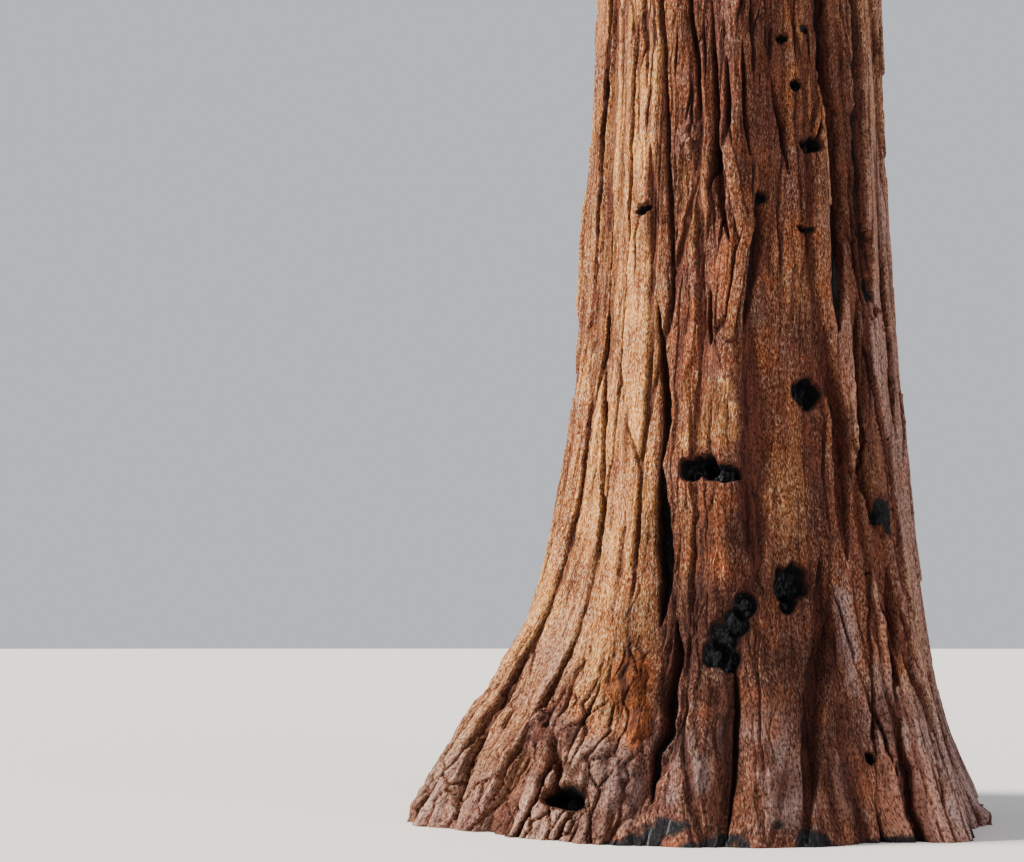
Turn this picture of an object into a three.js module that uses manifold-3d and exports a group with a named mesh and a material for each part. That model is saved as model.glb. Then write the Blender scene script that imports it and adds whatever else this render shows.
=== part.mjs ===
// A mature giant sequoia at five eighths of its real size, so that it stands 40 m tall.
// Units are millimetres and +Z is up. The origin is the trunk's axis in the flat cut at ground level.
// The front faces -Y. A turn is an angle in degrees about the trunk, from the front towards +X.
import * as THREE from 'three';
import { mergeVertices } from 'three/addons/utils/BufferGeometryUtils.js';
import Module from 'manifold-3d';

const wasm = await Module();
wasm.setup();

const trunk = {
  height: 40000,
  columnRadius: 935, // of the column, carried down through the flare to the ground
  tipRadius: 22,
  stoutness: 0.27, // how far the column stays thicker than a straight cone
  flareReach: 516, // what the foot adds all round at the ground
  flareHeight: 1415,
  flareBend: 0.93,
  leanReach: 356, // the axis drifts this far towards +X
  leanHeight: 6000,
  sides: 46,
  firstStep: 120, // between the two lowest rings
  stepGrowth: 1.18,
  longestStep: 2600,
};

// Buttresses of the foot: where each stands, how wide it is in degrees, how far it stands out at the
// ground and how high it rises.
const buttresses = [
  { turn: -68, spread: 19, reach: 440, rise: 980 },
  { turn: -44, spread: 12, reach: 200, rise: 900 },
  { turn: -24, spread: 9, reach: 150, rise: 520 },
  { turn: -7, spread: 7, reach: 60, rise: 1100 },
  { turn: 8, spread: 7, reach: 50, rise: 900 },
  { turn: 23, spread: 8, reach: 60, rise: 1000 },
  { turn: 49, spread: 11, reach: 137, rise: 1250 },
  { turn: 82, spread: 12, reach: 79, rise: 413 },
  { turn: 112, spread: 14, reach: 230, rise: 900 },
  { turn: 143, spread: 10, reach: 120, rise: 1100 },
  { turn: 170, spread: 13, reach: 260, rise: 800 },
  { turn: 201, spread: 11, reach: 150, rise: 1200 },
  { turn: 232, spread: 12, reach: 240, rise: 900 },
  { turn: 257, spread: 9, reach: 110, rise: 1000 },
];
const buttressBend = 2.2;

// Broad ridges of the column: how many go round, how high they are, and how far each set turns in
// degrees for every metre of height.
const flutes = [
  { count: 5, size: 26, start: 40, drift: 1.1 },
  { count: 9, size: 20, start: 200, drift: -1.6 },
  { count: 13, size: 13, start: 95, drift: 2.3 },
];

const crown = {
  foot: 12500, // height where the crown's outline begins
  reach: 6300, // its greatest radius
  shoulder: 2.6,
  dome: 0.6,
  footShare: 0.72, // radius at the foot, as a share of the greatest
  fullAt: 0.25, // share of the crown's height over which it widens to full
};

const boughRule = {
  count: 26,
  lowest: 14300,
  highest: 34200,
  heightJitter: 500,
  turnJitter: 30,
  lowPitch: -14, // degrees over the horizon where the lowest bough leaves the trunk
  highPitch: 34,
  pitchJitter: 12,
  upturn: 34, // a bough's end is about this much steeper than its root
  rootDepth: 0.4, // where a bough starts inside the trunk, and where it ends at the least,
  shortest: 1.5, // both over the trunk's radius there
  lowRadius: 205, // at the root
  highRadius: 85,
  tipShare: 0.52,
  sides: 6,
  rings: 6,
};

const massRule = {
  share: 0.42, // half width of a mass, as a share of the crown's radius there
  least: 1000,
  flatness: 0.85, // half height over half width
  lead: 0.7, // from the bough's tip to the middle of its mass, in half widths
  stemShare: 0.96, // the stem's radius over that of the bough's tip
};

const topRule = {
  count: 7,
  lowest: 34700,
  highest: 38670,
  half: 1300,
  topHalf: 860,
  heightJitter: 200,
  pitch: 30,
  topPitch: 74,
  shortestStem: 0.55, // in half widths
  stemRadius: 48,
};

const shootRule = {
  count: 9, // shoots from the stem of a mass
  reach: 0.56, // from the middle of a mass to the middle of a shoot, in half widths
  size: 0.47, // a shoot's half width over that of its parent
  spread: 1.7, // how much of the ball they cover, from the growing end, where 2 is all of it
  seatFirst: 0.25, // where along the stem the shoots leave it
  seatLast: 0.97,
  jitter: 0.32,
};

const spray = {
  needleReach: 0.4, // how far a needle stands out, over the length of the spray
  needleFirst: 0.3, // where along the spray the lowest and the highest needle end
  needleLast: 0.5,
  start: 0.35, // how far before the middle of its shoot it begins, in half widths of the shoot
  end: 1.1, // and how far past the middle it ends
  sizes: [1, 0.8, 0.6], // tried in turn until one fits
};

const twig = { radius: 29, tipRadius: 22, stemSides: 4, stemTaper: 0.5 };
const seatGap = 0.3; // clear space between pieces that meet
const spaceEdge = 1.08; // how far out a mass may reach, in half widths
const spaceMargin = 0.05; // how much nearer to its own mass than to the next a spray stays
const limbMargin = 60; // clear space between a spray and a limb
const boughBeadCount = 13; // places along a bough that sprays are tested against
const goldenTurn = 137.508;
const seeds = { bough: 220, topMass: 300, boughFoliage: 1000, topFoliage: 3000 };
const finest = 8; // faces finer than this are merged away after joining
const cutFinest = 0.1; // the same where a piece is cut to sit on the trunk

const colours = { bark: 0x9a6642, limbBark: 0x7d5238, foliage: 0x4f6b35 };

const up = new THREE.Vector3(0, 0, 1);
const mix = THREE.MathUtils.lerp;
const radians = THREE.MathUtils.degToRad;
const range = (count) => Array.from({ length: count }, (_, i) => i);

// A seeded row of numbers from 0 to 1, the same every time.
function seeded(seed) {
  let state = (seed * 7919 + 104729) % 4294967296;
  return () => {
    state = (state * 1664525 + 1013904223) % 4294967296;
    return state / 4294967296;
  };
}

// The unit vector that points outwards at a turn, raised by a pitch over the horizon.
function outward(turn, pitch = 0) {
  const flat = Math.cos(radians(pitch));
  return new THREE.Vector3(
    Math.sin(radians(turn)) * flat,
    -Math.cos(radians(turn)) * flat,
    Math.sin(radians(pitch)),
  );
}

const axisAt = (z) => new THREE.Vector3(trunk.leanReach * (1 - Math.exp(-z / trunk.leanHeight)), 0, z);

function columnRadius(z) {
  const left = 1 - z / trunk.height;
  const share = left * (1 + trunk.stoutness * (1 - left));
  return trunk.tipRadius + (trunk.columnRadius - trunk.tipRadius) * share;
}

function flareAt(turn, z) {
  const skirt = trunk.flareReach * Math.exp(-((z / trunk.flareHeight) ** trunk.flareBend));
  return buttresses.reduce((sum, b) => {
    const aside = THREE.MathUtils.euclideanModulo(turn - b.turn + 180, 360) - 180;
    const across = Math.exp(-((aside / b.spread) ** 2));
    return sum + b.reach * across * Math.exp(-((z / b.rise) ** buttressBend));
  }, skirt);
}

function trunkRadius(turn, z) {
  const column = columnRadius(z);
  const ridges = flutes.reduce(
    (sum, f) => sum + f.size * Math.sin(radians(f.count * (turn - f.start - (f.drift * z) / 1000))),
    0,
  );
  return column + (ridges * column) / trunk.columnRadius + flareAt(turn, z);
}

const middleOf = (ring) =>
  ring.reduce((sum, p) => sum.add(p), new THREE.Vector3()).divideScalar(ring.length);

// A closed skin over rings of points. Its ends fan out from the middle of the first and last rings.
function loft(rings) {
  const sides = rings[0].length;
  const points = [...rings.flat(), middleOf(rings[0]), middleOf(rings.at(-1))];
  const last = points.length - 1;
  const faces = [];
  const top = (rings.length - 1) * sides;
  for (let side = 0; side < sides; side++) {
    const next = (side + 1) % sides;
    for (let base = 0; base < top; base += sides) {
      faces.push(base + side, base + next, base + sides + next);
      faces.push(base + side, base + sides + next, base + sides + side);
    }
    faces.push(last - 1, next, side, last, top + side, top + next);
  }
  return new THREE.BufferGeometry().setFromPoints(points).setIndex(faces);
}

function solidOf(geometry) {
  const merged = mergeVertices(geometry);
  return new wasm.Manifold(
    new wasm.Mesh({
      numProp: 3,
      vertProperties: merged.attributes.position.array,
      triVerts: new Uint32Array(merged.index.array),
    }),
  );
}

function geometryOf(solid) {
  const mesh = solid.getMesh();
  const geometry = new THREE.BufferGeometry();
  geometry.setAttribute('position', new THREE.BufferAttribute(mesh.vertProperties, mesh.numProp));
  geometry.setIndex(new THREE.BufferAttribute(mesh.triVerts, 1));
  geometry.computeVertexNormals();
  return geometry;
}

// A tapering tube through a row of points, facing along the given directions.
function limb(points, along, radii, sides) {
  const side = new THREE.Vector3().crossVectors(along[0], up);
  if (side.length() < 0.1) side.set(1, 0, 0);
  return loft(points.map((p, i) => ringAt(p, along[i], side, radii[i], sides)));
}

function straightLimb(from, to, radius, endRadius, sides) {
  const along = to.clone().sub(from).normalize();
  return limb([from, to], [along, along], [radius, endRadius], sides);
}

function ringHeights() {
  const heights = [];
  let step = trunk.firstStep;
  for (let z = 0; z < trunk.height - step / 2; z += step) {
    heights.push(z);
    if (heights.length > 1) step = Math.min(step * trunk.stepGrowth, trunk.longestStep);
  }
  return [...heights, trunk.height];
}

// The trunk from its flat cut to its tip, grown by a small gap where it cuts the pieces it carries.
function trunkShape(gap = 0) {
  return loft(
    ringHeights().map((z) =>
      range(trunk.sides).map((k) => {
        const turn = (360 * k) / trunk.sides;
        return outward(turn).multiplyScalar(trunkRadius(turn, z) + gap).add(axisAt(z));
      }),
    ),
  );
}

function crownRadius(z) {
  const share = THREE.MathUtils.clamp((z - crown.foot) / (trunk.height - crown.foot), 0, 1);
  const widening = mix(crown.footShare, 1, Math.min(1, share / crown.fullAt));
  return crown.reach * widening * (1 - share ** crown.shoulder) ** crown.dome;
}

// One bough: a curve that leaves the trunk, turns upwards and ends where its foliage begins.
function boughPlan(i) {
  const next = seeded(seeds.bough + i);
  const share = i / (boughRule.count - 1);
  const height = mix(boughRule.lowest, boughRule.highest, share) + (next() - 0.5) * boughRule.heightJitter;
  const turn = goldenTurn * i + (next() - 0.5) * boughRule.turnJitter;
  const pitch = mix(boughRule.lowPitch, boughRule.highPitch, share) + (next() - 0.5) * boughRule.pitchJitter;
  const reach = crownRadius(height) * (0.9 + 0.2 * next());
  const half = Math.max(massRule.least, massRule.share * reach);
  const rise = Math.tan(radians(pitch + boughRule.upturn / 2));
  const start = columnRadius(height) * boughRule.rootDepth;
  const end = Math.max(reach - half * (1 + massRule.lead), columnRadius(height) * boughRule.shortest);
  const root = axisAt(height).addScaledVector(outward(turn), start);
  const tip = root.clone().addScaledVector(outward(turn), end - start);
  tip.addScaledVector(up, (end - start) * rise);
  const bend = root.clone().addScaledVector(outward(turn, pitch), root.distanceTo(tip) / 2);
  const radius = mix(boughRule.lowRadius, boughRule.highRadius, share) * (0.85 + 0.3 * next());
  const aim = tip.clone().sub(bend).normalize();
  const curve = new THREE.QuadraticBezierCurve3(root, bend, tip);
  return { curve, radius, tipRadius: radius * boughRule.tipShare, aim, half, seed: seeds.boughFoliage + i };
}

const boughs = range(boughRule.count).map(boughPlan);

function massAtTip(bough) {
  const seat = bough.curve.getPoint(1).addScaledVector(bough.aim, seatGap);
  const centre = seat.clone().addScaledVector(bough.aim, bough.half * massRule.lead);
  return { seat, centre, half: bough.half, radius: bough.tipRadius * massRule.stemShare, seed: bough.seed };
}

// A mass near the top sits on the trunk itself.
function massOnTrunk(i) {
  const next = seeded(seeds.topMass + i);
  const share = i / (topRule.count - 1);
  const height = mix(topRule.lowest, topRule.highest, share) + (next() - 0.5) * topRule.heightJitter;
  const turn = goldenTurn * (boughRule.count + i) + (next() - 0.5) * boughRule.turnJitter;
  const half = mix(topRule.half, topRule.topHalf, share);
  const aim = outward(turn, mix(topRule.pitch, topRule.topPitch, share));
  const seat = axisAt(height);
  const length = Math.max(crownRadius(height + half / 2) - half, half * topRule.shortestStem);
  const centre = seat.clone().addScaledVector(aim, length);
  return { seat, centre, half, radius: topRule.stemRadius, seed: seeds.topFoliage + i, onTrunk: true };
}

const masses = [...boughs.map(massAtTip), ...range(topRule.count).map(massOnTrunk)];

// How far a point is from the middle of a mass, where 1 is the edge of its space.
function depthIn(mass, point) {
  const gap = point.clone().sub(mass.centre);
  return Math.hypot(gap.x, gap.y, gap.z / massRule.flatness) / mass.half;
}

const boughBeads = boughs.flatMap((bough) =>
  bough.curve.getPoints(boughBeadCount - 1).map((at, k) => ({
    at,
    radius: mix(bough.radius, bough.tipRadius, k / (boughBeadCount - 1)),
  })),
);

// Whether a point keeps to its mass's own space and clear of trunk and boughs.
function isFree(mass, point, room) {
  const own = depthIn(mass, point) + room / mass.half;
  if (own > spaceEdge) return false;
  if (masses.some((m) => m !== mass && depthIn(m, point) < own + spaceMargin)) return false;
  const fromAxis = point.distanceTo(axisAt(point.z));
  if (fromAxis < columnRadius(point.z) + room + limbMargin) return false;
  return boughBeads.every((bead) => point.distanceTo(bead.at) > bead.radius + room + limbMargin);
}

// The shoots of a stem: each goes its own way to the edge of the ball round the stem's end.
function shootsOf(parent) {
  const next = seeded(parent.seed);
  const phase = 360 * next();
  const axis = parent.centre.clone().sub(parent.seat).normalize();
  const side = new THREE.Vector3().crossVectors(axis, Math.abs(axis.z) > 0.9 ? outward(0) : up).normalize();
  const over = new THREE.Vector3().crossVectors(axis, side);
  const last = shootRule.count - 1;
  return range(shootRule.count).map((k) => {
    const lift = 1 - (shootRule.spread * (k + 0.5)) / shootRule.count;
    const flat = Math.sqrt(1 - lift * lift);
    const angle = radians(phase + goldenTurn * k);
    const way = axis.clone().multiplyScalar(lift);
    way.addScaledVector(side, flat * Math.cos(angle)).addScaledVector(over, flat * Math.sin(angle));
    way.x += (next() - 0.5) * shootRule.jitter;
    way.y += (next() - 0.5) * shootRule.jitter;
    way.z += (next() - 0.5) * shootRule.jitter;
    way.normalize();
    way.z *= massRule.flatness;
    return {
      way,
      side: outward(360 * next()),
      seat: parent.seat.clone().lerp(parent.centre, mix(shootRule.seatLast, shootRule.seatFirst, k / last)),
      centre: parent.centre.clone().addScaledVector(way, parent.half * shootRule.reach),
      half: parent.half * shootRule.size,
      seed: (parent.seed * 31 + k * 17 + 7) % 1000003,
    };
  });
}

// The points of a ring about a place, facing along a direction. It turns the side vector to match.
function ringAt(place, along, side, radius, count, turned = 0) {
  side.addScaledVector(along, -side.dot(along)).normalize();
  const over = new THREE.Vector3().crossVectors(along, side);
  return range(count).map((k) => {
    const angle = (2 * Math.PI * (k + turned)) / count;
    return place
      .clone()
      .addScaledVector(side, radius * Math.cos(angle))
      .addScaledVector(over, radius * Math.sin(angle));
  });
}

// A twig that ends in a spray of needles: a slim core, drawn out to a point, with three needles
// standing out of it. Each needle is a thin fin that runs from the core's foot to its point.
function sprayShape(foot, collar, needles, tip) {
  const points = [...foot, ...collar, ...needles, tip];
  const [atCollar, atNeedles, atTip] = [3, 6, 9];
  const faces = [0, 2, 1];
  for (let k = 0; k < 3; k++) {
    const next = (k + 1) % 3;
    faces.push(k, next, atCollar + next);
    faces.push(k, atCollar + next, atCollar + k);
    faces.push(atCollar + k, atCollar + next, atNeedles + k);
    faces.push(atCollar + k, atNeedles + k, atTip);
    faces.push(atNeedles + k, atCollar + next, atTip);
  }
  return new THREE.BufferGeometry().setFromPoints(points).setIndex(faces);
}

// One shoot of a mass, or nothing where its twig isn't clear. Its spray is as long as fits.
function shootShape(mass, shoot) {
  const aim = shoot.way.clone().normalize();
  const base = shoot.centre.clone().addScaledVector(shoot.way, -shoot.half * spray.start);
  const outerTwig = [0.5, 0.75, 1].map((share) => shoot.seat.clone().lerp(base, share));
  if (!outerTwig.every((p) => isFree(mass, p, twig.radius))) return null;
  const along = base.clone().sub(shoot.seat).normalize();
  const side = shoot.side.clone();
  const foot = ringAt(shoot.seat, along, side, twig.radius, 3);
  const collar = ringAt(base, along.add(aim).normalize(), side, twig.tipRadius, 3);
  const full = shoot.half * (spray.start + spray.end) * shoot.way.length();
  for (const size of spray.sizes) {
    const length = full * size;
    const alongCore = (share) => base.clone().addScaledVector(aim, length * share);
    const tip = alongCore(1);
    const needles = range(3).map((k) => {
      const place = alongCore(mix(spray.needleFirst, spray.needleLast, k / 2));
      return ringAt(place, aim, side, length * spray.needleReach, 3, 0.5)[k];
    });
    const edges = needles.flatMap((p) => [p, p.clone().lerp(base, 0.5), p.clone().lerp(tip, 0.5)]);
    const core = [0.25, 0.5, 0.75, 1].map(alongCore);
    if ([...edges, ...core].every((p) => isFree(mass, p, 0))) return sprayShape(foot, collar, needles, tip);
  }
  return null;
}

// Keeps the largest body of a joined solid, without scraps or sealed hollows.
function wholeBody(solid) {
  const bodies = solid.decompose().filter((body) => body.volume() > 0);
  return bodies.reduce((best, body) => (body.volume() > best.volume() ? body : best));
}

const cutClear = (solid, cutter) => wholeBody(solid.subtract(cutter).simplify(cutFinest));

function massShape(mass, trunkCut) {
  const thinEnd = mass.radius * twig.stemTaper;
  const stem = straightLimb(mass.seat, mass.centre, mass.radius, thinEnd, twig.stemSides);
  const shapes = [stem, ...shootsOf(mass).map((shoot) => shootShape(mass, shoot)).filter(Boolean)];
  const joined = wholeBody(wasm.Manifold.union(shapes.map(solidOf)).simplify(finest));
  return geometryOf(mass.onTrunk ? cutClear(joined, trunkCut) : joined);
}

function boughShape(bough, trunkCut) {
  const shares = range(boughRule.rings).map((k) => k / (boughRule.rings - 1));
  const shape = limb(
    shares.map((s) => bough.curve.getPoint(s)),
    shares.map((s) => bough.curve.getTangent(s)),
    shares.map((s) => mix(bough.radius, bough.tipRadius, s ** 0.8)),
    boughRule.sides,
  );
  return geometryOf(cutClear(solidOf(shape), trunkCut));
}

function finish(colour, roughness) {
  return new THREE.MeshStandardMaterial({ color: colour, roughness, metalness: 0 });
}

const barkFinish = finish(colours.bark, 0.95);
const limbFinish = finish(colours.limbBark, 0.9);
const foliageFinish = finish(colours.foliage, 0.8);
const numbered = (word, i) => `${word}_${String(i + 1).padStart(2, '0')}`;

const sequoia = new THREE.Group();

function add(name, geometry, material) {
  const mesh = new THREE.Mesh(geometry, material);
  mesh.name = name;
  sequoia.add(mesh);
}

const trunkCut = solidOf(trunkShape(seatGap));
add('trunk', trunkShape(), barkFinish);
boughs.forEach((bough, i) => add(numbered('bough', i), boughShape(bough, trunkCut), limbFinish));
masses.forEach((mass, i) => {
  const name = mass.onTrunk ? numbered('top_foliage', i - boughRule.count) : numbered('foliage', i);
  add(name, massShape(mass, trunkCut), foliageFinish);
});

export default sequoia;
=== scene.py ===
import math

import bpy
import numpy as np
from mathutils import Euler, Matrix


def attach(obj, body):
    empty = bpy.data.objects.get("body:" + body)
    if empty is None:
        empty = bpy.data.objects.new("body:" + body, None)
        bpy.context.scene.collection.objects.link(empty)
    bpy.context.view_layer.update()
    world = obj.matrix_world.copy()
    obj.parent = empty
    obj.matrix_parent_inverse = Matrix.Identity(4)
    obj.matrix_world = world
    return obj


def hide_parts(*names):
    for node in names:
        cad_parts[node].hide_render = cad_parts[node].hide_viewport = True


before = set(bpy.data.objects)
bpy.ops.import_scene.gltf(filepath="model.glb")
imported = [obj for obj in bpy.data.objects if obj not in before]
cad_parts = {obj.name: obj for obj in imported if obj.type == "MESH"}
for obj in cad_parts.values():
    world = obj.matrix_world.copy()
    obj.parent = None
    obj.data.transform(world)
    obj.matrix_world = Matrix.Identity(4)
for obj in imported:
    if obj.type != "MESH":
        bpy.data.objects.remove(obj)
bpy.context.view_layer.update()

# Giant sequoia, 40 m tall: furrowed trunk, boughs, twigs and sprays of needles.
# Metres, +Z up, front towards -Y. A turn is in degrees about the trunk, from the front towards +X.


def mix(a, b, share):
    return a + (b - a) * share


# From 0 at the first value to 1 at the second, whichever of the two is greater.
def ease(start, end, value):
    share = np.clip((value - start) / (end - start), 0, 1)
    return share * share * (3 - 2 * share)


# Rises between the first two values, and falls between the last two.
def band(value, start, full, last, end):
    return ease(start, full, value) * ease(end, last, value)


def srgb(red, green, blue):
    parts = [c / 255 for c in (red, green, blue)]
    return tuple(c / 12.92 if c <= 0.04045 else ((c + 0.055) / 1.055) ** 2.4 for c in parts) + (1.0,)


def unit(vectors):
    return vectors / np.linalg.norm(vectors, axis=-1, keepdims=True)


def outward(turn, pitch=0.0):
    turn, pitch = np.radians(turn), np.radians(pitch)
    flat = np.cos(pitch)
    return np.stack(np.broadcast_arrays(np.sin(turn) * flat, -np.cos(turn) * flat, np.sin(pitch)), -1)


# The view: eye level of someone who stands a little back from the foot and looks up.
view = {"place": (0.0, -8.9, 1.0), "lookUp": 8.56, "lookLeft": 8.16, "lens": 50.0, "sensor": 36.0}

camera = bpy.data.objects.new("camera", bpy.data.cameras.new("camera"))
camera.data.lens = view["lens"]
camera.data.sensor_width = view["sensor"]
camera.data.clip_end = 2000
camera.location = view["place"]
camera.rotation_euler = Euler((math.radians(90 + view["lookUp"]), 0, math.radians(view["lookLeft"])))
bpy.context.collection.objects.link(camera)
bpy.context.scene.camera = camera


# Gives a node's inputs their values, or links them.
def feed(tree, node, inputs):
    for name, value in inputs.items():
        if isinstance(value, bpy.types.NodeSocket):
            tree.links.new(value, node.inputs[name])
        else:
            node.inputs[name].default_value = value


def addNode(tree, kind, inputs=None, settings=None):
    node = tree.nodes.new("ShaderNode" + kind)
    for name, value in (settings or {}).items():
        setattr(node, name, value)
    feed(tree, node, inputs or {})
    return node


def doMath(tree, operation, *values):
    return addNode(tree, "Math", dict(enumerate(values)), {"operation": operation}).outputs[0]


def times(tree, *values):
    return doMath(tree, "MULTIPLY", *values)


def plus(tree, *values):
    return doMath(tree, "ADD", *values)


def mapRange(tree, value, fromLow, fromHigh, toLow=0.0, toHigh=1.0):
    return addNode(tree, "MapRange", {
        "Value": value, "From Min": fromLow, "From Max": fromHigh, "To Min": toLow, "To Max": toHigh,
    }).outputs[0]


def noiseOf(tree, place, scale, detail, roughness=0.5):
    return addNode(tree, "TexNoise", {
        "Vector": place, "Scale": scale, "Detail": detail, "Roughness": roughness,
    }).outputs[0]


def stretched(tree, place, shares):
    return addNode(tree, "VectorMath", {0: place, 1: shares}, {"operation": "MULTIPLY"}).outputs[0]


def bumpOf(tree, height, strength, distance):
    return addNode(tree, "Bump", {"Strength": strength, "Distance": distance, "Height": height}).outputs[0]


def mixColour(tree, share, first, second, blend="MIX"):
    settings = {"data_type": "RGBA", "blend_type": blend}
    return addNode(tree, "Mix", {0: share, 6: first, 7: second}, settings).outputs[2]


def newMaterial(name, roughness=0.9, specular=0.3):
    material = bpy.data.materials.new(name)
    material.use_nodes = True
    tree = material.node_tree
    shader = tree.nodes["Principled BSDF"]
    feed(tree, shader, {"Roughness": roughness, "Specular IOR Level": specular})
    return material, tree, shader


def useGroup(tree, group, inputs):
    return addNode(tree, "Group", inputs, {"node_tree": group}).outputs


# Short fibres that run down the bark, and loose pale flecks, partly pale fibre and partly painted
# highlights.
def makeFibreGroup():
    group = bpy.data.node_groups.new("barkFibres", "ShaderNodeTree")
    sockets = group.interface
    sockets.new_socket("Place", in_out="INPUT", socket_type="NodeSocketVector")
    for label, value in (("Scale", 60.0), ("Stretch", 6.0)):
        sockets.new_socket(label, in_out="INPUT", socket_type="NodeSocketFloat").default_value = value
    for label in ("Fibre", "Strand", "FleckAndPaintedGlint", "Pore", "Height"):
        sockets.new_socket(label, in_out="OUTPUT", socket_type="NodeSocketFloat")
    given = group.nodes.new("NodeGroupInput").outputs

    def noise(scaleShare, stretchShare, detail, roughness):
        long = times(group, given["Stretch"], stretchShare)
        shape = addNode(group, "CombineXYZ", {"X": 1.0, "Y": 1.0, "Z": doMath(group, "DIVIDE", 1.0, long)})
        place = stretched(group, given["Place"], shape.outputs[0])
        return noiseOf(group, place, times(group, given["Scale"], scaleShare), detail, roughness)

    strands = mapRange(group, noise(1.0, 2.6, 4.0, 0.65), 0.37, 0.63)
    felt = mapRange(group, noise(2.4, 0.8, 4.0, 0.75), 0.42, 0.58)
    spots = noise(3.4, 0.6, 1.0, 0.6)
    fibre = plus(group, times(group, strands, 0.4), times(group, felt, 0.6))
    feed(group, group.nodes.new("NodeGroupOutput"), {
        "Fibre": fibre,
        "Strand": strands,
        "FleckAndPaintedGlint": mapRange(group, spots, 0.55, 0.66),
        "Pore": mapRange(group, spots, 0.47, 0.36),
        "Height": plus(group, fibre, times(group, spots, 1.1)),
    })
    return group


fibreGroup = makeFibreGroup()

# Bark colours and shares. The recess and furrow colours are partly the bark's darker inner fibre and
# partly painted shade; the light char colour is a painted glint on char; the fleck colour is partly pale
# fibre and partly painted highlight; the shade share is how dark painted shade makes the colour.
barkLook = {
    "redDark": srgb(84, 38, 29), "redLight": srgb(134, 71, 50), "orangeDark": srgb(112, 49, 24),
    "orangeLight": srgb(180, 97, 51), "tanDark": srgb(160, 72, 29), "tanLight": srgb(255, 182, 98),
    "plateGrey": srgb(148, 116, 106), "recessDark": srgb(62, 29, 24), "recessLight": srgb(108, 57, 44),
    "furrow": srgb(44, 19, 15), "pale": srgb(181, 155, 150), "moss": srgb(184, 96, 42),
    "char": srgb(6, 6, 8), "charPaintedGlint": srgb(25, 24, 29), "ash": srgb(104, 100, 106),
    "fleckAndPaintedGlint": srgb(255, 226, 182), "pore": 0.28, "paintedShade": 0.43, "fibreScale": 42.0, "fibreStretch": 5.0,
    "bump": 0.9, "bumpDepth": 0.013,
}


def attributeOf(tree, name, output="Fac"):
    return addNode(tree, "Attribute", None, {"attribute_name": name}).outputs[output]


# What the bark's material reads at each point of a mesh, besides the way its fibres flow.
barkKeys = ("furrow", "sunk", "tone", "tanAndPaintedSun", "pale", "moss", "char", "paintedShade")


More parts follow.
